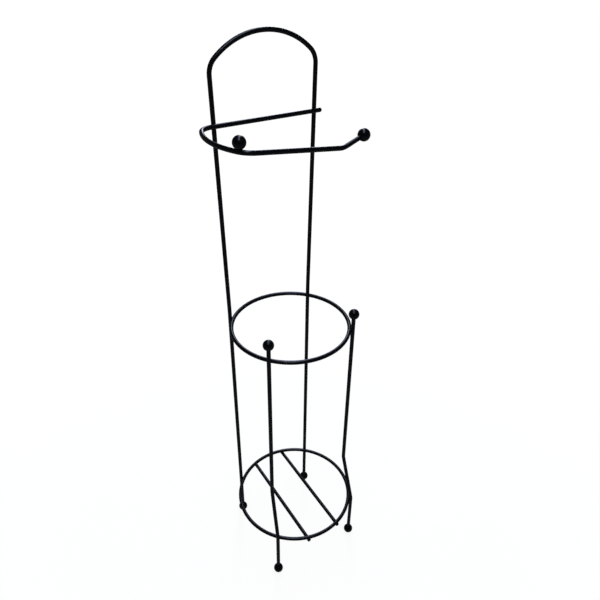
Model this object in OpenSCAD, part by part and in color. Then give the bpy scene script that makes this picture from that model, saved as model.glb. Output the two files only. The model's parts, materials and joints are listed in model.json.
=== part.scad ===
// Free-standing toilet paper holder with a reserve column, welded from round wire.
// Frame: +Z up, +Y to the back (the hoop side), +X to the right as seen from the front.
// Origin: on the floor, midway between the outline's left and right sides, in line with the
// base ring's centre from front to back.
// All sizes are in millimetres and all angles in degrees.

/* [Wire and welds] */
// Diameter of the round wire that every bent piece is made from
wire_d = 4.8; // [3:0.1:6]
// How deep two crossing wires are pressed into each other when they are welded
set_down = 0.6; // [0.2:0.05:0.8]
// Radius of the weld bead around each crossing
weld_r = 2.6; // [2:0.1:3.5]

/* [Balls] */
// Diameter of the solid balls on the wire ends
ball_d = 12.5; // [10:0.5:16]
// Depth of the blind hole that takes a wire end, measured from the ball's surface
socket_depth = 4; // [3:0.5:5]
// Radial clearance between a wire end and the hole in its ball
socket_clearance = 0.05; // [0.02:0.01:0.1]
// Diameter of the small flat ground under each foot ball
foot_flat_d = 4; // [2:0.5:6]

/* [Rings and base bars] */
// Centreline radius of the base ring
base_ring_r = 78; // [74:1:90]
// Height of the base ring's centreline
base_ring_z = 70; // [50:1:90]
// Centreline radius of the middle ring that guides the spare rolls
middle_ring_r = 70; // [66:1:80]
// Height of the middle ring's centreline
middle_ring_z = 360; // [280:1:400]
// Distance of each base bar from the middle of the base ring
base_bar_x = 23; // [15:0.5:35]

/* [Rear hoop] */
// Distance of each upright from the middle plane, from the foot to the middle ring
upright_x = 55.5; // [45:0.5:60]
// Height above the middle ring where the uprights start to spread
spread_rise = 12; // [8:1:40]
// Half the width of the hoop at its shoulders
shoulder_x = 59.5; // [50:0.5:64]
// Height of the shoulders' bend centres
shoulder_z = 640; // [560:1:680]
// Bend radius of the two shoulders
shoulder_r = 20; // [12:0.5:40]
// Bend radius of the crown between the shoulders
crown_r = 78.5; // [75:0.5:120]

/* [Front legs] */
// Distance of each front leg from the middle plane, at the middle ring
leg_x = 56.5; // [45:0.5:62]
// Distance of each front foot from the middle plane
front_foot_x = 60; // [50:0.5:66]
// Height of a leg ball's centre above the middle ring
leg_rise = 24; // [16:0.5:50]
// Height of the bend where a front leg starts to lean outwards
lean_top_z = 145; // [120:1:200]
// Height above the base ring of the bend where a front leg turns upright again
lean_bottom_rise = 6; // [4:0.5:12]
// Bend radius of a front leg
leg_bend_r = 15; // [8:1:25]

/* [Roll arm] */
// Height of the arm's back run, which is welded across the uprights
arm_z = 593; // [480:1:600]
// Distance between the arm's back run and its front run
arm_width = 93; // [80:1:110]
// Length of the back run that stands out past the right upright
arm_stub = 4.5; // [3:0.5:10]
// Bend radius of the return loop's back corner
loop_corner_r = 17; // [12:0.5:25]
// Bend radius of the shallow side of the return loop
loop_side_r = 92; // [70:1:140]
// Distance from the left upright to the start of the return loop
loop_start = 3.5; // [3:0.5:10]
// Upward tilt of the return loop
loop_tilt = 1.9; // [0:0.1:4]
// Downward slope of the front run
front_slope = 6.9; // [0:0.1:10]
// Distance from the middle plane to the bend near the arm's free end
kick_x = 29; // [20:0.5:40]
// Length of the upturned end, from its bend to the end ball's centre
kick_length = 25; // [20:0.5:35]
// Upward slope of the upturned end
kick_slope = 21; // [10:0.5:35]
// Bend radius between the front run and the upturned end
kick_bend_r = 18; // [10:0.5:30]
// Turn along the front corner, back from its front end, where the stop ball sits
stop_ball_turn = 57; // [20:1:60]

/* [Hidden] */
$fn = 72;

// Bands at the ends of the bends: half their length, and what they add to the diameter.
lap = 0.2;
lap_rise = 0.04;

// Two welded wires lie this far apart, and a ball lies this far from the wire it is welded to.
crossing = wire_d - set_down;
ball_crossing = (ball_d + wire_d) / 2 - set_down;

// The stop ball's bead reaches a little past the flat patch where the ball meets the arm.
ball_patch_r = sqrt(pow(ball_d / 2, 2) - pow(ball_d / 2 - set_down, 2));
ball_bead_rim = 0.3;
ball_bead_r = ball_patch_r + ball_bead_rim;

// The welds fix where the uprights, the middle ring and the legs stand.
upright_y = sqrt(pow(base_ring_r + crossing, 2) - pow(upright_x, 2));
middle_ring_y = upright_y - sqrt(pow(middle_ring_r + crossing, 2) - pow(upright_x, 2));
middle_ring_at = [0, middle_ring_y, middle_ring_z];
base_ring_at = [0, 0, base_ring_z];
leg_y = middle_ring_y - sqrt(pow(middle_ring_r + crossing, 2) - pow(leg_x, 2));
front_foot_y = -sqrt(pow(base_ring_r + crossing, 2) - pow(front_foot_x, 2));

// Balls: the flat puts the foot balls a little lower than their radius.
foot_ball_z = sqrt(pow(ball_d / 2, 2) - pow(foot_flat_d / 2, 2));
socket_floor = ball_d / 2 - socket_depth;
leg_ball_z = middle_ring_z + leg_rise;

// Base bars: they end flush with the outside of the base ring.
bar_z = base_ring_z - crossing;
bar_half = sqrt(pow(base_ring_r + wire_d / 2, 2) - pow(base_bar_x, 2));
bar_cross_y = sqrt(pow(base_ring_r, 2) - pow(base_bar_x, 2));

// Rear hoop: each upright is tangent to its shoulder, and the shoulders to the crown.
spread_z = middle_ring_z + spread_rise;
spread_bend_r = 150;
shoulder_cx = shoulder_x - shoulder_r;
shoulder_dist = norm([shoulder_cx - upright_x, shoulder_z - spread_z]);
spread = asin(shoulder_r / shoulder_dist) - atan2(upright_x - shoulder_cx, shoulder_z - spread_z);
crown_start = acos(shoulder_cx / (crown_r - shoulder_r));
crown_z = shoulder_z - (crown_r - shoulder_r) * sin(crown_start);

// Roll arm: the return loop is a small corner and a shallow side, and then the front corner,
// which turns from the side straight into the sloping front run.
arm_y = upright_y - crossing;
arm_cross_x = upright_x + (arm_z - spread_z) * tan(spread);
loop_x = -arm_cross_x - loop_start;
corner_turn = acos((arm_width / 2 - loop_corner_r) / (loop_side_r - loop_corner_r));
corner_out = loop_corner_r * sin(corner_turn);
loop_reach = corner_out + loop_side_r * (1 - sin(corner_turn));
corner_setback = loop_corner_r * tan(corner_turn / 2);
front_corner_at = [
    loop_x - corner_setback, arm_y - arm_width * cos(loop_tilt), arm_z + arm_width * sin(loop_tilt)
];
side_heading = [
    cos(corner_turn), -sin(corner_turn) * cos(loop_tilt), sin(corner_turn) * sin(loop_tilt)
];
side_end = front_corner_at - corner_setback * side_heading;
run_heading = [cos(front_slope), 0, -sin(front_slope)];
kick_at = front_corner_at + (kick_x - front_corner_at.x) / cos(front_slope) * run_heading;
kick_heading = [cos(kick_slope), 0, sin(kick_slope)];
kick_setback = kick_bend_r * tan((front_slope + kick_slope) / 2);
end_ball_at = kick_at + kick_length * kick_heading;

// Front corner: a short straight before it keeps its band clear of the side's band.
front_lead = 4 * lap;
front_setback = corner_setback - front_lead;
front_corner_r = front_setback / tan(acos(side_heading * run_heading) / 2);
front_up = cross(side_heading, run_heading) / norm(cross(side_heading, run_heading));
front_spoke = cross(run_heading, front_up);
front_centre = front_corner_at + front_setback * run_heading - front_corner_r * front_spoke;
stop_ball_spoke = cos(stop_ball_turn) * front_spoke - sin(stop_ball_turn) * run_heading;
stop_ball_at = front_centre + front_corner_r * stop_ball_spoke + ball_crossing * front_up;

// The middle of the outline lies between the loop's left side and the base ring's right side.
frame_x = (loop_reach - loop_x - base_ring_r) / 2;

// Every node is black and is moved from the base ring's axis to the middle of the outline.
module finished() {
    color("#17181c") translate([frame_x, 0, 0]) children();
}

// ---- Wire shapes ----

// A straight piece of wire between two points.
module straight(from, to) {
    along = to - from;
    length = norm(along);
    translate(from)
        rotate([0, acos(along.z / length), atan2(along.y, along.x)])
            cylinder(d = wire_d, h = length);
}

// A piece of wire bent round the Z axis, from one angle to another.
// A hair-thin band laps each end, so that bends and straights join into one solid.
module bent(r, from, to) {
    rotate([0, 0, from])
        rotate_extrude(angle = to - from, $fn = 144)
            translate([r, 0])
                circle(d = wire_d, $fn = 36);
    for (end = [from, to]) {
        rotate([0, 0, end])
            translate([r, -lap, 0])
                rotate([-90, 0, 0])
                    cylinder(d = wire_d + lap_rise, h = 2 * lap);
    }
}

// The same bend standing up in the XZ plane, with its angles counted from +X towards +Z.
module standing_bent(r, from, to) {
    rotate([90, 0, 0])
        bent(r, from, to);
}

function unit(v) = v / norm(v);

// The angle a wire turns through at b on its way from a to c.
function turn(a, b, c) = acos(unit(b - a) * unit(c - b));

// How far before and after b a bend of that radius starts and ends.
function setback(a, b, c, r) = r * tan(turn(a, b, c) / 2);

// The bend at b of a wire that runs from a to c.
module corner(a, b, c, r) {
    start = b - unit(b - a) * setback(a, b, c, r);
    heading = unit(b - a);
    normal = unit(cross(b - a, c - b));
    outward = cross(heading, normal);
    centre = start - outward * r;
    multmatrix([
        [outward.x, heading.x, normal.x, centre.x],
        [outward.y, heading.y, normal.y, centre.y],
        [outward.z, heading.z, normal.z, centre.z],
        [0, 0, 0, 1]
    ])
        bent(r, 0, turn(a, b, c));
}

// A wire along three or more points in a plane, with each inner corner bent to a radius.
module wire(points, radii) {
    last = len(points) - 1;
    for (i = [0 : last - 1]) {
        before = i == 0 ? 0 : setback(points[i - 1], points[i], points[i + 1], radii[i - 1]);
        after = i == last - 1 ? 0 : setback(points[i], points[i + 1], points[i + 2], radii[i]);
        heading = unit(points[i + 1] - points[i]);
        straight(points[i] + before * heading, points[i + 1] - after * heading);
    }
    for (i = [1 : last - 1]) {
        corner(points[i - 1], points[i], points[i + 1], radii[i - 1]);
    }
}

// A closed ring of wire, lying flat.
module ring(r) {
    rotate_extrude($fn = 360)
        translate([r, 0])
            circle(d = wire_d, $fn = 36);
}

// ---- Whole wires, before their crossings are pressed in ----

module hoop_wire() {
    shoulder_end = [
        shoulder_cx + shoulder_r * cos(spread), upright_y, shoulder_z - shoulder_r * sin(spread)
    ];
    for (side = [0, 1]) {
        mirror([side, 0, 0]) {
            wire(
                [
                    [upright_x, upright_y, foot_ball_z + socket_floor],
                    [upright_x, upright_y, spread_z],
                    shoulder_end
                ],
                [spread_bend_r]
            );
            translate([shoulder_cx, upright_y, shoulder_z])
                standing_bent(shoulder_r, -spread, crown_start);
        }
    }
    translate([0, upright_y, crown_z])
        standing_bent(crown_r, crown_start, 180 - crown_start);
}

module leg_wire(side) {
    wire(
        [
            [side * leg_x, leg_y, leg_ball_z - socket_floor],
            [side * leg_x, leg_y, lean_top_z],
            [side * front_foot_x, front_foot_y, base_ring_z + lean_bottom_rise],
            [side * front_foot_x, front_foot_y, foot_ball_z + socket_floor]
        ],
        [leg_bend_r, leg_bend_r]
    );
}

module middle_ring_wire() {
    translate(middle_ring_at)
        ring(middle_ring_r);
}

module base_ring_wire() {
    translate(base_ring_at)
        ring(base_ring_r);
}

module bar_wire(side) {
    straight([side * base_bar_x, -bar_half, bar_z], [side * base_bar_x, bar_half, bar_z]);
}

module arm_back_run() {
    straight([loop_x, arm_y, arm_z], [arm_cross_x + arm_stub, arm_y, arm_z]);
}

// The return loop is drawn flat, with its back end at the origin and both ends along X.
module loop_frame() {
    translate([loop_x, arm_y, arm_z])
        rotate([-loop_tilt, 0, 0])
            children();
}

module front_corner() {
    corner(side_end, front_corner_at, kick_at, front_corner_r);
}

module arm_wire() {
    arm_back_run();
    translate([arm_cross_x + arm_stub, arm_y, arm_z])
        sphere(d = wire_d, $fn = 36);
    loop_frame() {
        translate([0, -loop_corner_r, 0])
            bent(loop_corner_r, 90, 90 + corner_turn);
        translate([loop_side_r - loop_reach, -arm_width / 2, 0])
            bent(loop_side_r, 90 + corner_turn, 270 - corner_turn);
    }
    straight(side_end, side_end + front_lead * side_heading);
    front_corner();
    straight(front_corner_at + front_setback * run_heading, kick_at - kick_setback * run_heading);
    corner(front_corner_at, kick_at, end_ball_at, kick_bend_r);
    straight(kick_at + kick_setback * kick_heading, end_ball_at - socket_floor * kick_heading);
}

// ---- Whole wires as they are used ----

module rear_hoop() {
    finished()
        hoop_wire();
}

module front_leg(side) {
    finished()
        leg_wire(side);
}

// ---- Balls ----

// A ball with a blind hole that points down the Z axis.
module socket_ball() {
    difference() {
        sphere(d = ball_d);
        translate([0, 0, -ball_d])
            cylinder(r = wire_d / 2 + socket_clearance, h = ball_d - socket_floor);
    }
}

// A foot ball stands on its flat, with its hole at the top.
module foot_ball(x, y) {
    finished()
        difference() {
            translate([x, y, foot_ball_z])
                rotate([180, 0, 0])
                    socket_ball();
            translate([x - ball_d, y - ball_d, -ball_d])
                cube([2 * ball_d, 2 * ball_d, ball_d]);
        }
}

module leg_ball(side) {
    finished()
        translate([side * leg_x, leg_y, leg_ball_z])
            socket_ball();
}

// ---- Short lengths of wire through the crossings ----

// A short length of wire through a point, along a heading.
module wire_at(at, heading) {
    straight(at - 2 * wire_d * heading, at + 2 * wire_d * heading);
}

// A post is an upright or a leg where it passes a ring.
module middle_rear_post(side) {
    wire_at([side * upright_x, upright_y, middle_ring_z], [0, 0, 1]);
}

module middle_front_post(side) {
    wire_at([side * leg_x, leg_y, middle_ring_z], [0, 0, 1]);
}

module base_rear_post(side) {
    wire_at([side * upright_x, upright_y, base_ring_z], [0, 0, 1]);
}

// It ends below the leg's lower bend.
module base_front_post(side) {
    translate([side * front_foot_x, front_foot_y, base_ring_z])
        straight([0, 0, -2 * wire_d], [0, 0, crossing]);
}

// The spread upright where the arm's back run is welded across it.
module arm_post(side) {
    wire_at([side * arm_cross_x, upright_y, arm_z], [side * sin(spread), 0, cos(spread)]);
}

// ---- Welded pieces: a crossing is pressed into the ring, bar, arm or ball ----

module middle_ring() {
    finished()
        difference() {
            middle_ring_wire();
            for (side = [-1, 1]) {
                middle_rear_post(side);
                middle_front_post(side);
            }
        }
}

module base_ring() {
    finished()
        difference() {
            base_ring_wire();
            for (side = [-1, 1]) {
                base_rear_post(side);
                base_front_post(side);
            }
        }
}

module base_bar(side) {
    finished()
        difference() {
            bar_wire(side);
            base_ring_wire();
        }
}

module roll_arm() {
    finished()
        difference() {
            arm_wire();
            arm_post(-1);
            arm_post(1);
        }
}

module arm_stop_ball() {
    finished()
        difference() {
            translate(stop_ball_at)
                sphere(d = ball_d);
            front_corner();
        }
}

module arm_end_ball() {
    finished()
        translate(end_ball_at)
            rotate([0, 90 - kick_slope, 0])
                socket_ball();
}

// ---- Weld beads: each fills the notch around one crossing ----

module bead(at) {
    finished()
        difference() {
            translate(at)
                sphere(r = weld_r, $fn = 36);
            children();
        }
}

// The middle of the crossing where an upright wire stands against the outside of a ring.
function ring_weld_at(ring_at, r, post) = ring_at + unit(post - ring_at) * (r + crossing / 2);

module weld_middle_rear(side) {
    bead(ring_weld_at(middle_ring_at, middle_ring_r, [side * upright_x, upright_y, middle_ring_z])) {
        middle_ring_wire();
        middle_rear_post(side);
    }
}

module weld_middle_front(side) {
    bead(ring_weld_at(middle_ring_at, middle_ring_r, [side * leg_x, leg_y, middle_ring_z])) {
        middle_ring_wire();
        middle_front_post(side);
    }
}

module weld_base_rear(side) {
    bead(ring_weld_at(base_ring_at, base_ring_r, [side * upright_x, upright_y, base_ring_z])) {
        base_ring_wire();
        base_rear_post(side);
    }
}

module weld_base_front(side) {
    bead(ring_weld_at(base_ring_at, base_ring_r, [side * front_foot_x, front_foot_y, base_ring_z])) {
        base_ring_wire();
        base_front_post(side);
    }
}

module weld_bar(side, end) {
    bead([side * base_bar_x, end * bar_cross_y, base_ring_z - crossing / 2]) {
        base_ring_wire();
        bar_wire(side);
    }
}

module weld_arm(side) {
    bead([side * arm_cross_x, arm_y + crossing / 2, arm_z]) {
        arm_back_run();
        arm_post(side);
    }
}

module weld_stop_ball() {
    finished()
        difference() {
            translate(stop_ball_at - front_up * (ball_d - set_down) / 2)
                sphere(r = ball_bead_r, $fn = 36);
            translate(stop_ball_at)
                sphere(d = ball_d);
            front_corner();
        }
}

rear_hoop();
middle_ring();
base_ring();
base_bar(-1);  // base_bar_left
base_bar(1);  // base_bar_right
front_leg(-1);  // front_leg_left
front_leg(1);  // front_leg_right
leg_ball(-1);  // leg_ball_left
leg_ball(1);  // leg_ball_right
foot_ball(-upright_x, upright_y);  // foot_ball_rear_left
foot_ball(upright_x, upright_y);  // foot_ball_rear_right
foot_ball(-front_foot_x, front_foot_y);  // foot_ball_front_left
foot_ball(front_foot_x, front_foot_y);  // foot_ball_front_right
roll_arm();
arm_stop_ball();
arm_end_ball();
weld_arm(-1);  // weld_arm_left
weld_arm(1);  // weld_arm_right
weld_stop_ball();
weld_middle_rear(-1);  // weld_middle_rear_left
weld_middle_rear(1);  // weld_middle_rear_right
weld_middle_front(-1);  // weld_middle_front_left
weld_middle_front(1);  // weld_middle_front_right
weld_base_rear(-1);  // weld_base_rear_left
weld_base_rear(1);  // weld_base_rear_right
weld_base_front(-1);  // weld_base_front_left
weld_base_front(1);  // weld_base_front_right
weld_bar(-1, 1);  // weld_bar_left_rear
weld_bar(-1, -1);  // weld_bar_left_front
weld_bar(1, 1);  // weld_bar_right_rear
weld_bar(1, -1);  // weld_bar_right_front
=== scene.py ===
"""Looks of a free-standing toilet paper holder: black coated wire, balls, welds and a studio.

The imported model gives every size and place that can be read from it. Lengths are in metres and
angles in radians. +X is the holder's right, +Y its back and +Z is up.
"""

import json
import logging
import math
from collections.abc import Callable
from dataclasses import dataclass
from enum import Enum

import bmesh
import bpy
from mathutils import Matrix, Vector

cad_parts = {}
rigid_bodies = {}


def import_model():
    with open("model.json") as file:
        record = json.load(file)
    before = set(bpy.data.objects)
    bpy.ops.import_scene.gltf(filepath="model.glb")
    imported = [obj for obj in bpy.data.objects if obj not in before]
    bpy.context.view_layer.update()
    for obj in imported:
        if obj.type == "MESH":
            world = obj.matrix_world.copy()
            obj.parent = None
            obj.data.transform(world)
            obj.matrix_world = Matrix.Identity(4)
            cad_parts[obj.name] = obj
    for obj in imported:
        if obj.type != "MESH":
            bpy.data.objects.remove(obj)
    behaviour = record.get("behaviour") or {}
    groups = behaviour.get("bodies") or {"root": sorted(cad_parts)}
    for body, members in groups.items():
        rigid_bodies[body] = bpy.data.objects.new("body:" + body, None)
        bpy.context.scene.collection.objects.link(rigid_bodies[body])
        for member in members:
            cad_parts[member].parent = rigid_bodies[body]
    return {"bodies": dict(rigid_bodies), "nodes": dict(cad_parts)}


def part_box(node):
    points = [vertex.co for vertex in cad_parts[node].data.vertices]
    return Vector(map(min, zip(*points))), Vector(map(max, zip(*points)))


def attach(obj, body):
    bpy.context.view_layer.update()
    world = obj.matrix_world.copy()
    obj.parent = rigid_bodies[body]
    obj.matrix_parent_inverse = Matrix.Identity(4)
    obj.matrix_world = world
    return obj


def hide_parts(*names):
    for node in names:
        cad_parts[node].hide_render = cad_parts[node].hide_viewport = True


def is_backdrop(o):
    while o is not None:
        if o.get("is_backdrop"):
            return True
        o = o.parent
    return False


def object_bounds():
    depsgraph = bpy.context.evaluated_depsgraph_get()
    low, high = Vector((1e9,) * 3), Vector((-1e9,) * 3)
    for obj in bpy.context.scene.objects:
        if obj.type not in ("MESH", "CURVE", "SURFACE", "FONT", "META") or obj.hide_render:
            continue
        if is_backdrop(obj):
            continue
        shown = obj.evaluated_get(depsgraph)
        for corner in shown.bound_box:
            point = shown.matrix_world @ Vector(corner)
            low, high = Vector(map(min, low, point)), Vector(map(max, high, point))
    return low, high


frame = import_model()

LOG = logging.getLogger("holder")
MM = 0.001
HAIR = 0.01 * MM
MERGE_WITHIN = 0.001 * MM
WIRE_R = 2.4 * MM
WIRE_SIDES = 40
BALL_R = 6.25 * MM
SET_DOWN = 0.6 * MM
HALF_CROSSING = (2 * WIRE_R - SET_DOWN) / 2
X = Vector((1, 0, 0))
Y = Vector((0, 1, 0))
Z = Vector((0, 0, 1))
SIDES = {"left": -1, "right": 1}
ENDS = {"front": -1, "rear": 1}
ROOT = "root"


class Slot(Enum):
    """The record's finish slots."""

    WIRE = "coated_wire"
    BALL = "coated_ball"
    WELD = "coated_weld"


# ---- Reading places off the frame ----


def node_low(node: str) -> Vector:
    """Return a CAD node's lowest corner."""
    return Vector(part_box(node)[0])


def node_high(node: str) -> Vector:
    """Return a CAD node's highest corner."""
    return Vector(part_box(node)[1])


def node_middle(node: str) -> Vector:
    """Return the middle of a CAD node's box."""
    return (node_low(node) + node_high(node)) / 2


def ball_middle(node: str) -> Vector:
    """Return the middle of a ball whose top is whole, measured down from that top."""
    middle = node_middle(node)
    middle.z = node_high(node).z - BALL_R
    return middle


# ---- Hand tools ----


def pick_only(*objects: bpy.types.Object) -> None:
    """Select these objects alone and make the last one active."""
    bpy.ops.object.select_all(action="DESELECT")
    for one in objects:
        one.select_set(True)
    bpy.context.view_layer.objects.active = objects[-1]


def pick_corners(test: Callable[[Vector], bool]) -> None:
    """Select the vertices of the mesh in edit mode whose place passes the test.

    Args:
        test: Takes a vertex's place and says whether it is wanted.
    """
    bpy.ops.mesh.select_mode(type="VERT")
    bpy.ops.mesh.select_all(action="DESELECT")
    mesh = bpy.context.object.data
    shape = bmesh.from_edit_mesh(mesh)
    for corner in shape.verts:
        corner.select = test(corner.co)
    shape.select_flush(True)
    bmesh.update_edit_mesh(mesh)


def face_outwards() -> None:
    """Merge doubles and turn every face of the mesh in edit mode outwards."""
    bpy.ops.mesh.select_all(action="SELECT")
    bpy.ops.mesh.remove_doubles(threshold=MERGE_WITHIN)
    bpy.ops.mesh.normals_make_consistent(inside=False)
    bpy.ops.mesh.select_all(action="DESELECT")


def start_piece(name: str) -> bpy.types.Object:
    """Name the primitive that was just added, and put its place into its mesh.

    Args:
        name: The piece's name.

    Returns:
        The new object, which is active.
    """
    piece = bpy.context.object
    piece.name = name
    piece.data.name = name
    bpy.ops.object.transform_apply(location=True, rotation=True, scale=True)
    return piece


def turned_ball(name: str, segments: int, middle: Vector) -> bpy.types.Object:
    """Turn a plain ball, which is then cut, seated or made a web.

    Args:
        name: The ball's name.
        segments: Its segments round its axis.
        middle: Its middle.

    Returns:
        The ball.
    """
    bpy.ops.object.select_all(action="DESELECT")
    bpy.ops.mesh.primitive_uv_sphere_add(
        segments=segments, ring_count=segments // 2, radius=BALL_R, location=middle
    )
    return start_piece(name)


def settle(piece: bpy.types.Object, place: Matrix) -> None:
    """Move a piece to its place, and put that place into its mesh.

    Args:
        piece: The mesh object.
        place: Where its own frame goes in the holder's frame. It may mirror.
    """
    piece.matrix_world = place
    pick_only(piece)
    bpy.ops.object.transform_apply(location=True, rotation=True, scale=True)
    if place.determinant() < 0:
        bpy.ops.object.mode_set(mode="EDIT")
        face_outwards()
        bpy.ops.object.mode_set(mode="OBJECT")


def copy_of(model: bpy.types.Object, name: str, place: Matrix) -> bpy.types.Object:
    """Copy a model with a mesh of its own.

    Args:
        model: The piece to copy.
        name: The copy's name.
        place: Where the copy goes.

    Returns:
        The settled copy.
    """
    piece = model.copy()
    piece.data = model.data.copy()
    piece.name = name
    piece.data.name = name
    bpy.context.scene.collection.objects.link(piece)
    settle(piece, place)
    return piece


def scrap(model: bpy.types.Object) -> None:
    """Throw away a model once its copies are made."""
    bpy.data.objects.remove(model)


def apply_modifier(piece: bpy.types.Object, kind: str, **settings: object) -> None:
    """Add a modifier to a piece and apply it.

    Args:
        piece: The mesh object.
        kind: The modifier's type.
        **settings: The modifier's own settings.
    """
    pick_only(piece)
    bpy.ops.object.modifier_add(type=kind)
    modifier = piece.modifiers[-1]
    for setting, value in settings.items():
        setattr(modifier, setting, value)
    bpy.ops.object.modifier_apply(modifier=modifier.name)


def smooth(piece: bpy.types.Object, crease: float = math.radians(40)) -> None:
    """Shade a piece smooth, and leave edges sharper than the crease angle sharp."""
    pick_only(piece)
    bpy.ops.object.shade_smooth_by_angle(angle=crease)


def hand_over(piece: bpy.types.Object, node: str, coat: bpy.types.Material) -> None:
    """Finish a piece: dress it, let it ride, and let it stand for its CAD node.

    Args:
        piece: The finished mesh object.
        node: The CAD node it stands for.
        coat: Its material.
    """
    piece.data.materials.clear()
    piece.data.materials.append(coat)
    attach(piece, ROOT)
    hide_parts(node)
    LOG.info("%s: %d faces, stands for %s", piece.name, len(piece.data.polygons), node)


# ---- Finishes ----


def linear(colour: str) -> tuple[float, float, float, float]:
    """Turn an sRGB hex colour into a linear one.

    Args:
        colour: A colour such as "#0c0d11".

    Returns:
        Red, green, blue and an alpha of 1.
    """
    parts = [int(colour[i : i + 2], 16) / 255 for i in (1, 3, 5)]
    lit = [c / 12.92 if c <= 0.04045 else ((c + 0.055) / 1.055) ** 2.4 for c in parts]
    return (lit[0], lit[1], lit[2], 1.0)


def add_node(
    tree: bpy.types.NodeTree,
    kind: str,
    settings: dict[str, object] | None = None,
    sockets: dict[str, object] | None = None,
) -> bpy.types.Node:
    """Add a node, set it up and link it.

    Args:
        tree: The node tree.
        kind: The node's type.
        settings: Values of the node's own properties.
        sockets: For each input, a value or the output socket that feeds it.

    Returns:
        The new node.
    """
    node = tree.nodes.new(kind)
    for setting, value in (settings or {}).items():
        setattr(node, setting, value)
    for socket, value in (sockets or {}).items():
        entry = node.inputs[int(socket)] if socket.isdigit() else node.inputs[socket]
        if isinstance(value, bpy.types.NodeSocket):
            tree.links.new(value, entry)
        else:
            entry.default_value = value
    return node


def per_metre(size_mm: float) -> float:
    """Return the noise scale whose features are about this many millimetres wide."""
    return 1 / (size_mm * MM)


@dataclass(frozen=True)
class PowderCoat:
    """Black semi-gloss powder coating, sprayed on bent steel wire and baked.

    The melted powder gives a deep, faintly blue black with soft highlights. Its skin has a fine
    orange peel, so a highlight has a slightly uneven edge, and its gloss drifts a little. Sizes
    are the widths of the patterns' features, and depths are real ones.
    """

    name: str
    deep: str = "#040507"
    pale: str = "#08090c"
    cloud_mm: float = 14.0
    peel_mm: float = 1.4
    grain_mm: float = 0.35
    peel_depth_mm: float = 0.0025
    grain_depth_mm: float = 0.0004
    noise_low: float = 0.3
    noise_high: float = 0.7
    glossiest: float = 0.2
    dullest: float = 0.34
    ior: float = 1.5
    specular: float = 0.5
    sheen_tint: str = "#dbe4f8"

    def material(self) -> bpy.types.Material:
        """Build the coat's material.

        Returns:
            The material, which reads object coordinates alone.
        """
        coat = bpy.data.materials.new(self.name)
        coat.use_nodes = True
        tree = coat.node_tree
        tree.nodes.clear()
        place = add_node(tree, "ShaderNodeTexCoord").outputs["Object"]
        clouds = self._noise(tree, place, self.cloud_mm, 3)
        peel = self._noise(tree, place, self.peel_mm, 1)
        grain = self._noise(tree, place, self.grain_mm, 2)
        # A Mix node's colours are its inputs 6 and 7, and its mixed colour is its output 2.
        colour = add_node(
            tree,
            "ShaderNodeMix",
            {"data_type": "RGBA"},
            {"0": clouds, "6": linear(self.deep), "7": linear(self.pale)},
        ).outputs[2]
        gloss = add_node(
            tree,
            "ShaderNodeMapRange",
            sockets={
                "Value": self._noise(tree, place, self.cloud_mm / 2, 2),
                "From Min": self.noise_low,
                "From Max": self.noise_high,
                "To Min": self.glossiest,
                "To Max": self.dullest,
            },
        ).outputs[0]
        ripples = self._bump(tree, peel, self.peel_depth_mm)
        skin = self._bump(tree, grain, self.grain_depth_mm, ripples)
        shader = add_node(
            tree,
            "ShaderNodeBsdfPrincipled",
            sockets={
                "Base Color": colour,
                "Roughness": gloss,
                "IOR": self.ior,
                "Specular IOR Level": self.specular,
                "Specular Tint": linear(self.sheen_tint),
                "Normal": skin,
            },
        )
        add_node(tree, "ShaderNodeOutputMaterial", sockets={"Surface": shader.outputs[0]})
        return coat

    @staticmethod
    def _noise(
        tree: bpy.types.NodeTree, place: bpy.types.NodeSocket, size_mm: float, detail: int
    ) -> bpy.types.NodeSocket:
        """Add a noise of a real size and return its value.

        Args:
            tree: The node tree.
            place: The coordinates.
            size_mm: The width of its features.
            detail: Its octaves.

        Returns:
            The noise's factor output.
        """
        sockets = {"Vector": place, "Scale": per_metre(size_mm), "Detail": detail}
        return add_node(tree, "ShaderNodeTexNoise", sockets=sockets).outputs[0]

    @staticmethod
    def _bump(
        tree: bpy.types.NodeTree,
        height: bpy.types.NodeSocket,
        depth_mm: float,
        under: bpy.types.NodeSocket | None = None,
    ) -> bpy.types.NodeSocket:
        """Add a bump of a real depth and return its normal.

        Args:
            tree: The node tree.
            height: The relief, from 0 to 1.
            depth_mm: The height that 1 stands for.
            under: The normal that the bump is added to.

        Returns:
            The bumped normal.
        """
        sockets: dict[str, object] = {"Height": height, "Distance": depth_mm * MM}
        if under is not None:
            sockets["Normal"] = under
        return add_node(tree, "ShaderNodeBump", sockets=sockets).outputs[0]


# ---- Wire forming ----


@dataclass(frozen=True)
class Run:
    """A straight stretch of wire."""

    length: float


@dataclass(frozen=True)
class Bend:
    """A bend, with its centreline radius, its turn and the axis it turns about."""

    radius: float
    turn: float
    axis: Vector


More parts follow.
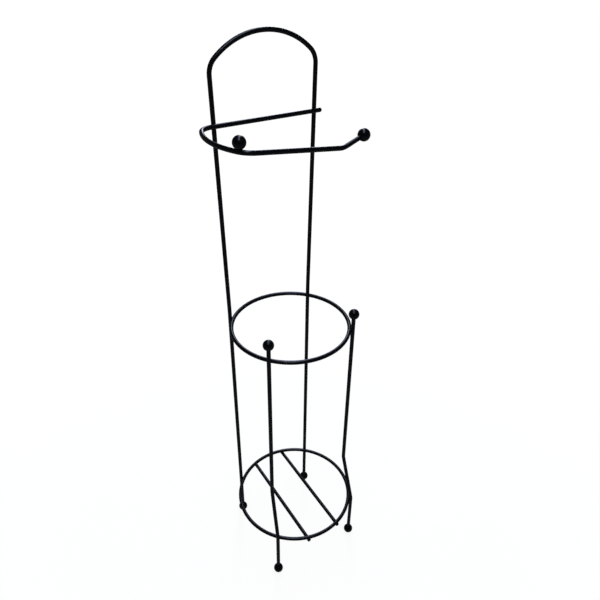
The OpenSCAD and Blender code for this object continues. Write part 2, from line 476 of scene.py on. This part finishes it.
@dataclass
class Wire:
    """One length of round wire, formed stretch by stretch from its cut end."""

    name: str
    start: Vector
    heading: Vector
    steps: list[Run | Bend]
    bend_step: float = math.radians(3)
    end_rounding: float = 0.0
    rounding_steps: int = 4

    def form(self) -> bpy.types.Object:
        """Form the wire: a disc at the cut end is drawn along runs and spun round bends.

        Returns:
            The closed wire.
        """
        bpy.ops.object.select_all(action="DESELECT")
        bpy.ops.mesh.primitive_circle_add(
            vertices=WIRE_SIDES,
            radius=WIRE_R,
            fill_type="NGON",
            location=self.start,
            rotation=self.heading.to_track_quat("Z", "Y").to_euler(),
        )
        wire = start_piece(self.name)
        bpy.ops.object.mode_set(mode="EDIT")
        bpy.ops.mesh.select_mode(type="FACE")
        bpy.ops.mesh.select_all(action="SELECT")
        at, heading = self.start.copy(), self.heading.copy()
        for step in self.steps:
            if isinstance(step, Run):
                at = self._draw(at, heading, step)
            else:
                at, heading = self._spin(at, heading, step)
        if self.end_rounding:
            self._round_ends(at, heading)
        face_outwards()
        bpy.ops.object.mode_set(mode="OBJECT")
        smooth(wire)
        return wire

    @staticmethod
    def _draw(at: Vector, heading: Vector, run: Run) -> Vector:
        """Draw the end face straight on.

        Args:
            at: Where the wire ends.
            heading: Its direction there.
            run: The straight stretch.

        Returns:
            Where the wire ends now.
        """
        bpy.ops.mesh.extrude_region_move(TRANSFORM_OT_translate={"value": heading * run.length})
        return at + heading * run.length

    def _spin(self, at: Vector, heading: Vector, bend: Bend) -> tuple[Vector, Vector]:
        """Spin the end face round a bend. The spin tool turns the other way about its axis.

        Args:
            at: Where the wire ends.
            heading: Its direction there.
            bend: The bend.

        Returns:
            Where the wire ends now, and its direction there.
        """
        inwards = bend.axis.cross(heading) * math.copysign(1, bend.turn)
        centre = at + inwards * bend.radius
        steps = max(2, math.ceil(abs(bend.turn) / self.bend_step))
        bpy.ops.mesh.spin(steps=steps, angle=-bend.turn, center=centre, axis=bend.axis)
        turn = Matrix.Rotation(bend.turn, 3, bend.axis)
        return centre + turn @ (at - centre), turn @ heading

    def _round_ends(self, at: Vector, heading: Vector) -> None:
        """Bevel the rims of both ends, as the coating rounds them.

        Args:
            at: Where the wire ends.
            heading: Its direction there.
        """
        ends = [(self.start, self.heading), (at, heading)]
        for end, along in ends:
            pick_corners(lambda spot: on_end(spot, end, along))
            bpy.ops.mesh.bevel(
                offset=self.end_rounding, segments=self.rounding_steps, affect="EDGES"
            )


def on_end(spot: Vector, end: Vector, along: Vector) -> bool:
    """Say whether a place lies on the rim of a wire's end.

    Args:
        spot: The place.
        end: The middle of the wire's end.
        along: The wire's direction there.

    Returns:
        Whether the place is within a hair of the rim.
    """
    offset = spot - end
    return abs(offset.dot(along)) < HAIR and abs(offset.length - WIRE_R) < HAIR


def corner_setback(radius: float, turn: float) -> float:
    """Return how far before its corner a bend starts."""
    return radius * math.tan(abs(turn) / 2)


@dataclass(frozen=True)
class Corner:
    """A bend from one straight direction to another, about the point where the two meet."""

    at: Vector
    before: Vector
    after: Vector
    setback: float

    def turn(self) -> float:
        """Return the angle that the wire turns through."""
        return self.before.angle(self.after)

    def up(self) -> Vector:
        """Return the axis that the bend turns about."""
        return self.before.cross(self.after).normalized()

    def radius(self) -> float:
        """Return the bend radius."""
        return self.setback / math.tan(self.turn() / 2)

    def spoke(self) -> Vector:
        """Return the direction from the bend's middle to its far end."""
        return self.after.cross(self.up())

    def middle(self) -> Vector:
        """Return the middle that the bend turns round."""
        return self.at + self.setback * self.after - self.radius() * self.spoke()


@dataclass
class Ring:
    """A closed ring of wire, spun from one round section and butt-welded."""

    name: str
    centre: Vector
    radius: float
    steps: int = 180
    seam_swell: float = 1.05

    def form(self) -> bpy.types.Object:
        """Spin the ring, with its butt weld at the back.

        Returns:
            The closed ring.
        """
        seam = self.centre + Y * self.radius
        bpy.ops.object.select_all(action="DESELECT")
        bpy.ops.mesh.primitive_circle_add(
            vertices=WIRE_SIDES,
            radius=WIRE_R,
            fill_type="NOTHING",
            location=seam,
            rotation=(0, math.pi / 2, 0),
        )
        ring = start_piece(self.name)
        bpy.ops.object.mode_set(mode="EDIT")
        bpy.ops.mesh.select_all(action="SELECT")
        bpy.ops.mesh.spin(
            steps=self.steps, angle=math.tau, center=self.centre, axis=Z, use_auto_merge=True
        )
        face_outwards()
        pick_corners(lambda spot: abs(spot.x - seam.x) < HAIR and spot.y > self.centre.y)
        bpy.ops.transform.resize(value=(1, self.seam_swell, self.seam_swell), center_override=seam)
        bpy.ops.mesh.select_all(action="DESELECT")
        bpy.ops.object.mode_set(mode="OBJECT")
        smooth(ring)
        return ring


# ---- Balls ----


@dataclass
class SocketBall:
    """A solid ball with a blind hole for a wire's end, and the coating's collar round the wire.

    The ball is modelled with its middle at the origin and its hole pointing up.
    """

    name: str
    socket_depth: float = 4 * MM
    collar_r: float = 0.7 * MM
    collar_steps: int = 5
    clearance: float = 0.03 * MM
    flat_rounding: float = 0.3 * MM
    flat_rounding_steps: int = 3
    segments: int = 64

    def form(self, flat_drop: float | None = None) -> bpy.types.Object:
        """Model the ball.

        Args:
            flat_drop: How far below the middle a foot's flat lies, or None for no flat.

        Returns:
            The closed ball.
        """
        ball = turned_ball(self.name, self.segments, Vector())
        bpy.ops.object.mode_set(mode="EDIT")
        if flat_drop is not None:
            self._grind_flat(flat_drop)
        rim = self._open_top()
        self._raise_collar(rim)
        self._sink_socket()
        face_outwards()
        bpy.ops.object.mode_set(mode="OBJECT")
        smooth(ball)
        return ball

    def _collar_middle(self) -> Vector:
        """Return the middle of the collar's round section, right of the hole's axis."""
        across = WIRE_R + self.clearance + self.collar_r
        reach = BALL_R + self.collar_r
        return Vector((across, 0, math.sqrt(reach**2 - across**2)))

    def _grind_flat(self, drop: float) -> None:
        """Cut the ball's foot flat and round the flat's edge.

        Args:
            drop: How far below the ball's middle the flat lies.
        """
        bpy.ops.mesh.select_all(action="SELECT")
        bpy.ops.mesh.bisect(
            plane_co=(0, 0, -drop), plane_no=(0, 0, 1), use_fill=True, clear_inner=True
        )
        pick_corners(lambda spot: spot.z < -drop + HAIR)
        bpy.ops.mesh.bevel(
            offset=self.flat_rounding, segments=self.flat_rounding_steps, affect="EDGES"
        )

    def _open_top(self) -> Vector:
        """Cut the ball's top off where the collar starts, and select the rim.

        Returns:
            A point of the rim, right of the hole's axis.
        """
        middle = self._collar_middle()
        rim = middle * (BALL_R / middle.length)
        bpy.ops.mesh.select_all(action="SELECT")
        bpy.ops.mesh.bisect(plane_co=(0, 0, rim.z), plane_no=(0, 0, 1), clear_outer=True)
        pick_corners(lambda spot: spot.z > rim.z - HAIR)
        return rim

    def _raise_collar(self, rim: Vector) -> None:
        """Draw the rim up the collar's hollow curve to the wire.

        Args:
            rim: A point of the rim, right of the hole's axis.
        """
        middle = self._collar_middle()
        first = math.atan2(rim.z - middle.z, rim.x - middle.x)
        last = -math.pi
        before = rim
        for step in range(1, self.collar_steps + 1):
            angle = first + (last - first) * step / self.collar_steps
            after = middle + self.collar_r * Vector((math.cos(angle), 0, math.sin(angle)))
            bpy.ops.mesh.extrude_region_move(
                TRANSFORM_OT_translate={"value": (0, 0, after.z - before.z)}
            )
            share = after.x / before.x
            bpy.ops.transform.resize(value=(share, share, 1), center_override=(0, 0, after.z))
            before = after

    def _sink_socket(self) -> None:
        """Draw the hole's wall down from the collar, and close its floor."""
        drop = self._collar_middle().z - (BALL_R - self.socket_depth)
        bpy.ops.mesh.extrude_region_move(TRANSFORM_OT_translate={"value": (0, 0, -drop)})
        bpy.ops.mesh.edge_face_add()


# ---- Welds ----


@dataclass
class WeldWeb:
    """The soft web that weld and coating leave in the corner where two pieces touch.

    Short lengths of the two pieces are joined, made one skin and relaxed. The skin sinks a hair
    into the pieces, and stands proud only in the corner between them.
    """

    voxel: float = 0.2 * MM
    relax_rounds: int = 60
    relax_share: float = 0.5

    def form(self, name: str, parts: list[bpy.types.Object]) -> bpy.types.Object:
        """Join the parts and relax them into one skin.

        Args:
            name: The web's name.
            parts: Closed short lengths, which are used up.

        Returns:
            The web.
        """
        pick_only(*parts)
        bpy.ops.object.join()
        web = bpy.context.object
        web.name = name
        web.data.name = name
        apply_modifier(web, "REMESH", mode="VOXEL", voxel_size=self.voxel)
        apply_modifier(web, "SMOOTH", factor=self.relax_share, iterations=self.relax_rounds)
        pick_only(web)
        bpy.ops.object.shade_smooth()
        return web


# ---- Sub-assemblies ----


@dataclass
class RearHoop:
    """The rear hoop: two uprights, the shoulders and the crown, bent from one wire."""

    coat: bpy.types.Material
    shoulder_z: float = 640 * MM
    shoulder_r: float = 20 * MM
    crown_r: float = 78.5 * MM
    spread_z: float = 372 * MM
    spread_bend_r: float = 150 * MM

    def build(self) -> None:
        """Form the hoop from its left foot over the crown to its right foot.

        The wire's ends stand on the floors of the foot balls' holes.
        """
        left = node_middle("foot_ball_rear_left")
        upright_x = (node_middle("foot_ball_rear_right").x - left.x) / 2
        shoulder_cx = (node_high("rear_hoop").x - node_low("rear_hoop").x) / 2
        shoulder_cx -= WIRE_R + self.shoulder_r
        rise = self.shoulder_z - self.spread_z
        reach = math.hypot(shoulder_cx - upright_x, rise)
        spread = math.asin(self.shoulder_r / reach) - math.atan2(upright_x - shoulder_cx, rise)
        crown_start = math.acos(shoulder_cx / (self.crown_r - self.shoulder_r))
        foot_z = node_low("rear_hoop").z
        setback = corner_setback(self.spread_bend_r, spread)
        lean_length = math.sqrt(reach**2 - self.shoulder_r**2) - setback
        upright = Run(self.spread_z - foot_z - setback)
        lean = Bend(self.spread_bend_r, -spread, Y)
        shoulder = Bend(self.shoulder_r, spread + crown_start, Y)
        wire = Wire(
            name="hoop_wire",
            start=Vector((left.x, left.y, foot_z)),
            heading=Z,
            steps=[
                upright,
                lean,
                Run(lean_length),
                shoulder,
                Bend(self.crown_r, math.pi - 2 * crown_start, Y),
                shoulder,
                Run(lean_length),
                lean,
                upright,
            ],
        )
        hand_over(wire.form(), "rear_hoop", self.coat)


@dataclass
class Rings:
    """The base ring and the middle ring."""

    coat: bpy.types.Material

    def build(self) -> None:
        """Form both rings."""
        for node in ("base_ring", "middle_ring"):
            low, high = node_low(node), node_high(node)
            ring = Ring(
                name=f"{node}_wire",
                centre=(low + high) / 2,
                radius=(high.x - low.x) / 2 - WIRE_R,
            )
            hand_over(ring.form(), node, self.coat)


@dataclass
class BaseBars:
    """The two bars under the base ring, which carry the spare rolls."""

    coat: bpy.types.Material
    end_rounding: float = 0.6 * MM

    def build(self) -> None:
        """Cut and round both bars."""
        for side in SIDES:
            node = f"base_bar_{side}"
            low, high = node_low(node), node_high(node)
            middle = (low + high) / 2
            bar = Wire(
                name=f"{node}_wire",
                start=Vector((middle.x, low.y, low.z + WIRE_R)),
                heading=Y,
                steps=[Run(high.y - low.y)],
                end_rounding=self.end_rounding,
            )
            hand_over(bar.form(), node, self.coat)


@dataclass
class FrontLegs:
    """The two front legs, which lean outwards from the middle ring to the base ring."""

    coat: bpy.types.Material
    lean_top_z: float = 145 * MM
    lean_bottom_z: float = 76 * MM
    bend_r: float = 15 * MM

    def build(self) -> None:
        """Form both legs from the leg ball down."""
        for side in SIDES:
            node = f"front_leg_{side}"
            top = node_middle(f"leg_ball_{side}")
            foot = node_middle(f"foot_ball_front_{side}")
            lean = Vector((foot.x - top.x, foot.y - top.y, self.lean_bottom_z - self.lean_top_z))
            turn = lean.angle(-Z)
            axis = (-Z).cross(lean).normalized()
            setback = corner_setback(self.bend_r, turn)
            low_z, high_z = node_low(node).z, node_high(node).z
            leg = Wire(
                name=f"{node}_wire",
                start=Vector((top.x, top.y, high_z)),
                heading=-Z,
                steps=[
                    Run(high_z - self.lean_top_z - setback),
                    Bend(self.bend_r, turn, axis),
                    Run(lean.length - 2 * setback),
                    Bend(self.bend_r, -turn, axis),
                    Run(self.lean_bottom_z - setback - low_z),
                ],
            )
            hand_over(leg.form(), node, self.coat)


@dataclass
class RollArm:
    """The arm that holds the roll in use: a back run, a return loop and a front run."""

    coat: bpy.types.Material
    width: float = 93 * MM
    corner_r: float = 17 * MM
    side_r: float = 92 * MM
    tilt: float = math.radians(1.9)
    front_lead: float = 0.8 * MM
    kick: float = math.radians(21)
    kick_bend_r: float = 18 * MM
    kick_length: float = 25 * MM
    socket_floor: float = 2.25 * MM
    stub_rounding: float = 2.3 * MM

    def corner_turn(self) -> float:
        """Return the turn of the loop's back corner, and of its front one before the slope."""
        return math.acos((self.width / 2 - self.corner_r) / (self.side_r - self.corner_r))

    def loop_axis(self) -> Vector:
        """Return the axis that the loop turns about. It leans back, so the front is higher."""
        return Vector((0, math.sin(self.tilt), math.cos(self.tilt)))

    def across(self) -> Vector:
        """Return the direction from the back run to the front run."""
        return Vector((0, -math.cos(self.tilt), math.sin(self.tilt)))

    def loop_back(self) -> Vector:
        """Return the point where the back run meets the loop."""
        low = node_low("roll_arm")
        corner_out = self.corner_r * math.sin(self.corner_turn())
        reach = corner_out + self.side_r * (1 - math.sin(self.corner_turn()))
        back_y = node_high("roll_arm").y - WIRE_R
        arm_z = node_middle("weld_arm_left").z
        return Vector((low.x + WIRE_R + reach, back_y, arm_z))

    def kick_heading(self) -> Vector:
        """Return the direction of the upturned end."""
        return Vector((math.cos(self.kick), 0, math.sin(self.kick)))

    def kick_at(self) -> Vector:
        """Return the point where the front run meets the upturned end."""
        return node_middle("arm_end_ball") - self.kick_length * self.kick_heading()

    def front_corner(self) -> Corner:
        """Return the bend that leads from the loop's side straight into the front run."""
        turn = self.corner_turn()
        setback = corner_setback(self.corner_r, turn)
        at = self.loop_back() + self.width * self.across() - setback * X
        return Corner(
            at=at,
            before=math.cos(turn) * X + math.sin(turn) * self.across(),
            after=(self.kick_at() - at).normalized(),
            setback=setback - self.front_lead,
        )

    def build(self) -> bpy.types.Object:
        """Form the arm from its stub round the loop to the end ball.

        Returns:
            The arm's wire.
        """
        back = self.loop_back()
        stub_x = node_high("roll_arm").x
        turn, up = self.corner_turn(), self.loop_axis()
        front = self.front_corner()
        rise = front.after.angle(self.kick_heading())
        kick_setback = corner_setback(self.kick_bend_r, rise)
        front_run = (self.kick_at() - front.at).length - front.setback - kick_setback
        wire = Wire(
            name="arm_wire",
            start=Vector((stub_x, back.y, back.z)),
            heading=-X,
            steps=[
                Run(stub_x - back.x),
                Bend(self.corner_r, turn, up),
                Bend(self.side_r, math.pi - 2 * turn, up),
                Run(self.front_lead),
                Bend(front.radius(), front.turn(), front.up()),
                Run(front_run),
                Bend(self.kick_bend_r, -rise, Y),
                Run(self.kick_length - kick_setback - self.socket_floor),
            ],
            end_rounding=self.stub_rounding,
        )
        piece = wire.form()
        hand_over(piece, "roll_arm", self.coat)
        return piece


@dataclass
class Balls:
    """The balls: one on each leg, each foot and the arm's end, and the stop ball on the arm."""

    coat: bpy.types.Material
    flat_r: float = 2 * MM
    stop_segments: int = 64

    def build(self, arm: RollArm, arm_wire: bpy.types.Object) -> None:
        """Model the two kinds of socket ball, copy them to their places and seat the stop ball.

        Args:
            arm: The arm, for the direction of its free end.
            arm_wire: The arm's formed wire, which the stop ball is seated on.
        """
        plain = SocketBall("socket_ball").form()
        foot_drop = math.sqrt(BALL_R**2 - self.flat_r**2)
        foot = SocketBall("foot_ball").form(flat_drop=foot_drop)
        upside_down = Matrix.Rotation(math.pi, 4, "X")
        for side in SIDES:
            self._place(plain, f"leg_ball_{side}", upside_down)
            for end in ENDS:
                self._place(foot, f"foot_ball_{end}_{side}", Matrix.Identity(4), foot_drop)
        self._place(plain, "arm_end_ball", Matrix.Rotation(-math.pi / 2 - arm.kick, 4, "Y"))
        scrap(plain)
        scrap(foot)
        self._seat_stop_ball(arm_wire)

    def _place(
        self, model: bpy.types.Object, node: str, turn: Matrix, drop: float | None = None
    ) -> None:
        """Copy a ball to a node's place.

        Args:
            model: The ball, with its middle at the origin.
            node: The CAD node it stands for.
            turn: How the ball is turned.
            drop: How far below a foot's middle its flat lies, or None for a ball without one.
        """
        middle = ball_middle(node)
        if drop is not None:
            middle.z = node_low(node).z + drop
        piece = copy_of(model, f"{node}_coated", Matrix.Translation(middle) @ turn)
        hand_over(piece, node, self.coat)

    def _seat_stop_ball(self, arm_wire: bpy.types.Object) -> None:
        """Model the stop ball, with a groove where the arm is pressed into it.

        Args:
            arm_wire: The arm's formed wire.
        """
        middle = ball_middle("arm_stop_ball")
        ball = turned_ball("arm_stop_ball_coated", self.stop_segments, middle)
        apply_modifier(ball, "BOOLEAN", operation="DIFFERENCE", solver="EXACT", object=arm_wire)
        smooth(ball)
        hand_over(ball, "arm_stop_ball", self.coat)


@dataclass
class Welds:
    """The webs of weld and coating at every crossing of two wires, and under the stop ball."""

    coat: bpy.types.Material
    reach: float = 3.6 * MM
    bar_overhang: float = 2.3 * MM
    cap_height: float = 3 * MM
    cap_segments: int = 48

    def build(self, arm: RollArm) -> None:
        """Model each kind of web and copy it to its crossings.

        Args:
            arm: The arm, for the bend that the stop ball sits on.
        """
        self._ring_and_arm_webs()
        self._bar_webs()
        self._stop_ball_web(arm)

    def _stub(self, at: Vector, heading: Vector, back: float, ahead: float) -> bpy.types.Object:
        """Cut a short length of wire.

        Args:
            at: A point on its centreline.
            heading: Its direction.
            back: Its length behind the point.
            ahead: Its length ahead of the point.

        Returns:
            The short length.
        """
        start = at - heading * back
        return Wire("stub", start, heading, [Run(back + ahead)]).form()

    def _ring_and_arm_webs(self) -> None:
        """Place the square web where an upright wire stands against a ring or the arm."""
        model = WeldWeb().form(
            "square_web",
            [
                self._stub(-X * HALF_CROSSING, Y, self.reach, self.reach),
                self._stub(X * HALF_CROSSING, Z, self.reach, self.reach),
            ],
        )
        for side in SIDES:
            posts = {
                f"weld_middle_rear_{side}": ("middle_ring", f"foot_ball_rear_{side}"),
                f"weld_middle_front_{side}": ("middle_ring", f"leg_ball_{side}"),
                f"weld_base_rear_{side}": ("base_ring", f"foot_ball_rear_{side}"),
                f"weld_base_front_{side}": ("base_ring", f"foot_ball_front_{side}"),
            }
            for node, (ring, post) in posts.items():
                centre = node_middle(ring)
                outwards = node_middle(post) - centre
                outwards.z = 0
                inner = outwards.normalized() * (outwards.length - HALF_CROSSING)
                self._place(model, node, centre + inner, outwards)
            node = f"weld_arm_{side}"
            at = node_middle(node)
            at.y = node_middle(f"foot_ball_rear_{side}").y - HALF_CROSSING
            self._place(model, node, at, Y)
        scrap(model)

    def _place(self, model: bpy.types.Object, node: str, at: Vector, outwards: Vector) -> None:
        """Copy the square web to a crossing.

        Args:
            model: The web, with its upright wire on its +X side.
            node: The CAD node it stands for.
            at: The middle of the crossing.
            outwards: The direction from the level wire to the upright one.
        """
        axis = outwards.normalized()
        turn = Matrix((axis, Z.cross(axis), Z)).transposed().to_4x4()
        piece = copy_of(model, f"{node}_web", Matrix.Translation(at) @ turn)
        hand_over(piece, node, self.coat)

    def _bar_webs(self) -> None:
        """Place the slanted web where a base bar runs under the base ring."""
        centre = node_middle("base_ring")
        at = node_middle("weld_bar_right_rear") - centre
        level = (node_middle("base_bar_right").z + centre.z) / 2
        along_ring = Z.cross(Vector((at.x, at.y, 0))).normalized()
        model = WeldWeb().form(
            "slanted_web",
            [
                self._stub(-Z * HALF_CROSSING, Y, self.reach, self.bar_overhang),
                self._stub(Z * HALF_CROSSING, along_ring, self.reach, self.reach),
            ],
        )
        for side, across in SIDES.items():
            for end, along in ENDS.items():
                node = f"weld_bar_{side}_{end}"
                spot = Vector((centre.x + across * at.x, centre.y + along * at.y, level))
                flip = Matrix.Diagonal((across, along, 1, 1))
                piece = copy_of(model, f"{node}_web", Matrix.Translation(spot) @ flip)
                hand_over(piece, node, self.coat)
        scrap(model)

    def _stop_ball_web(self, arm: RollArm) -> None:
        """Model the web under the stop ball, on the bend that the ball sits on.

        Args:
            arm: The arm.
        """
        middle = ball_middle("arm_stop_ball")
        corner = arm.front_corner()
        up, radius = corner.up(), corner.radius()
        outwards = middle - corner.middle()
        turn_back = math.atan2(-outwards.dot(corner.after), outwards.dot(corner.spoke()))
        half_turn = self.reach / radius
        start_turn = turn_back + half_turn
        spoke = math.cos(start_turn) * corner.spoke() - math.sin(start_turn) * corner.after
        heading = math.cos(start_turn) * corner.after + math.sin(start_turn) * corner.spoke()
        start = corner.middle() + radius * spoke
        stub = Wire("stub", start, heading, [Bend(radius, 2 * half_turn, up)]).form()
        web = WeldWeb().form("weld_stop_ball_web", [stub, self._cap(middle, up)])
        hand_over(web, "weld_stop_ball", self.coat)

    def _cap(self, middle: Vector, up: Vector) -> bpy.types.Object:
        """Cut a cap off the underside of a ball.

        Args:
            middle: The ball's middle.
            up: The direction from the cap to the middle.

        Returns:
            The closed cap.
        """
        cap = turned_ball("cap", self.cap_segments, middle)
        bpy.ops.object.mode_set(mode="EDIT")
        bpy.ops.mesh.select_all(action="SELECT")
        bpy.ops.mesh.bisect(
            plane_co=middle - up * (BALL_R - self.cap_height),
            plane_no=up,
            use_fill=True,
            clear_outer=True,
        )
        face_outwards()
        bpy.ops.object.mode_set(mode="OBJECT")
        return cap


# ---- Studio ----


@dataclass(frozen=True)
class Softbox:
    """A soft lamp that faces the holder's middle."""

    name: str
    bearing: float
    elevation: float
    distance: float = 1.5
    width: float = 0.3
    length: float = 0.9
    power: float = 4.5
    tint: str = "#e6edff"

    def hang(self, middle: Vector) -> None:
        """Hang the lamp. Its length lies in the upright plane through the lamp and the middle.

        Args:
            middle: What the lamp faces.
        """
        level = Vector((math.sin(self.bearing), math.cos(self.bearing), 0))
        towards = math.cos(self.elevation) * level + math.sin(self.elevation) * Z
        lamp = bpy.data.lights.new(self.name, "AREA")
        lamp.shape = "RECTANGLE"
        lamp.size = self.width
        lamp.size_y = self.length
        lamp.energy = self.power
        lamp.color = linear(self.tint)[:3]
        hung = bpy.data.objects.new(self.name, lamp)
        bpy.context.scene.collection.objects.link(hung)
        side = Vector((level.y, -level.x, 0))
        turn = Matrix((side, towards.cross(side), towards)).transposed().to_4x4()
        hung.matrix_world = Matrix.Translation(middle + towards * self.distance) @ turn
        hung.visible_camera = False


@dataclass(frozen=True)
class Camera:
    """The camera, which stands to the holder's front left and looks down on it."""

    place: Vector = Vector((-281.8, -461.88, 758.84)) * MM
    bearing: float = math.radians(32.235)
    dip: float = math.radians(33.3)
    roll: float = math.radians(0.68)
    lens_mm: float = 34.29
    sensor_mm: float = 36.0
    nearest: float = 0.01

    def set_up(self) -> None:
        """Set the camera up and make it the scene's."""
        lens = bpy.data.cameras.new("camera")
        lens.lens = self.lens_mm
        lens.sensor_width = self.sensor_mm
        lens.clip_start = self.nearest
        camera = bpy.data.objects.new("camera", lens)
        bpy.context.scene.collection.objects.link(camera)
        turn = Matrix.Rotation(-self.bearing, 4, "Z")
        tilt = Matrix.Rotation(math.pi / 2 - self.dip, 4, "X")
        roll = Matrix.Rotation(self.roll, 4, "Z")
        camera.matrix_world = Matrix.Translation(self.place) @ turn @ tilt @ roll
        bpy.context.scene.camera = camera


@dataclass(frozen=True)
class Studio:
    """A pale floor, a white surround and soft lamps in line with the camera."""

    floor_size: float = 60.0
    floor_colour: str = "#6e6e6e"
    near_glow: float = 0.9
    far_glow: float = 0.97
    glow_from: float = 0.3
    glow_to: float = 1.6
    room_light: float = 0.32
    glossy_share: float = 0.03

    def build(self) -> None:
        """Lay the floor, light the room and hang the lamps."""
        scene = bpy.context.scene
        scene.view_settings.view_transform = "Standard"
        self._lay_floor()
        self._light_room()
        bearing = Camera.bearing
        middle = sum(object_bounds(), Vector()) / 2
        for lamp in (
            Softbox("lamp_front_top", bearing, math.radians(105)),
            Softbox("lamp_top", bearing, math.radians(68)),
            Softbox("lamp_back", bearing, math.radians(28), width=0.35, length=0.8),
        ):
            lamp.hang(middle)

    @staticmethod
    def _maths(
        tree: bpy.types.NodeTree,
        operation: str,
        first: bpy.types.NodeSocket,
        second: bpy.types.NodeSocket | float,
    ) -> bpy.types.NodeSocket:
        """Add a calculation on two values and return its result.

        Args:
            tree: The node tree.
            operation: What is done with the values, such as "MULTIPLY".
            first: The first value.
            second: The second value.

        Returns:
            The result.
        """
        sockets = {"0": first, "1": second}
        return add_node(tree, "ShaderNodeMath", {"operation": operation}, sockets).outputs[0]

    def _backdrop_share(self, tree: bpy.types.NodeTree) -> bpy.types.NodeSocket:
        """Return how much of the white surround a ray sees.

        The camera and clear pieces see it whole. A gloss on black sees a little of it.

        Args:
            tree: The node tree.

        Returns:
            The share, from 0 to 1.
        """
        rays = add_node(tree, "ShaderNodeLightPath").outputs
        gloss = self._maths(tree, "MULTIPLY", rays["Is Glossy Ray"], self.glossy_share)
        seen = self._maths(tree, "MAXIMUM", rays["Is Camera Ray"], rays["Is Transmission Ray"])
        return self._maths(tree, "MAXIMUM", seen, gloss)

    def _lay_floor(self) -> None:
        """Lay the floor, which keeps the holder's shadow under its white glow."""
        bpy.ops.object.select_all(action="DESELECT")
        bpy.ops.mesh.primitive_plane_add(size=self.floor_size)
        floor = bpy.context.object
        floor.name = "floor"
        paint = bpy.data.materials.new("matt_floor_paint")
        paint.use_nodes = True
        tree = paint.node_tree
        tree.nodes.clear()
        matt = add_node(tree, "ShaderNodeBsdfDiffuse", sockets={"Color": linear(self.floor_colour)})
        share = self._backdrop_share(tree)
        place = add_node(tree, "ShaderNodeTexCoord").outputs["Object"]
        distance = add_node(
            tree, "ShaderNodeVectorMath", {"operation": "LENGTH"}, {"0": place}
        ).outputs["Value"]
        glow_here = add_node(
            tree,
            "ShaderNodeMapRange",
            sockets={
                "Value": distance,
                "From Min": self.glow_from,
                "From Max": self.glow_to,
                "To Min": self.near_glow,
                "To Max": self.far_glow,
            },
        ).outputs[0]
        strength = self._maths(tree, "MULTIPLY", share, glow_here)
        glow = add_node(tree, "ShaderNodeEmission", sockets={"Strength": strength})
        both = add_node(
            tree, "ShaderNodeAddShader", sockets={"0": matt.outputs[0], "1": glow.outputs[0]}
        )
        add_node(tree, "ShaderNodeOutputMaterial", sockets={"Surface": both.outputs[0]})
        floor.data.materials.append(paint)
        floor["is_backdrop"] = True

    def _light_room(self) -> None:
        """Light the room: white where it is seen, dimmer where it only lights."""
        room = bpy.data.worlds.new("studio")
        bpy.context.scene.world = room
        room.use_nodes = True
        tree = room.node_tree
        tree.nodes.clear()
        rays = add_node(tree, "ShaderNodeLightPath").outputs
        lit = self._maths(tree, "MULTIPLY", rays["Is Diffuse Ray"], self.room_light)
        strength = self._maths(tree, "MAXIMUM", self._backdrop_share(tree), lit)
        air = add_node(
            tree, "ShaderNodeBackground", sockets={"Color": linear("#ffffff"), "Strength": strength}
        )
        add_node(tree, "ShaderNodeOutputWorld", sockets={"Surface": air.outputs[0]})


def clear_bench() -> None:
    """Remove what a new file starts with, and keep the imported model."""
    kept = set(frame["nodes"].values()) | set(frame["bodies"].values())
    for one in list(bpy.data.objects):
        if one not in kept:
            bpy.data.objects.remove(one)


def main() -> None:
    """Build the holder piece by piece, then the studio."""
    logging.basicConfig(level=logging.INFO, format="%(name)s: %(message)s")
    clear_bench()
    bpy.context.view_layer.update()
    wire_coat = PowderCoat("black_powder_coated_steel_wire").material()
    ball_coat = PowderCoat("black_powder_coated_steel_ball", glossiest=0.16).material()
    weld_coat = PowderCoat("black_powder_coated_weld", glossiest=0.26, dullest=0.4).material()
    RearHoop(wire_coat).build()
    Rings(wire_coat).build()
    BaseBars(wire_coat).build()
    FrontLegs(wire_coat).build()
    arm = RollArm(wire_coat)
    arm_wire = arm.build()
    Balls(ball_coat).build(arm, arm_wire)
    Welds(weld_coat).build(arm)
    Studio().build()
    Camera().set_up()


if __name__ == "__main__":
    main()
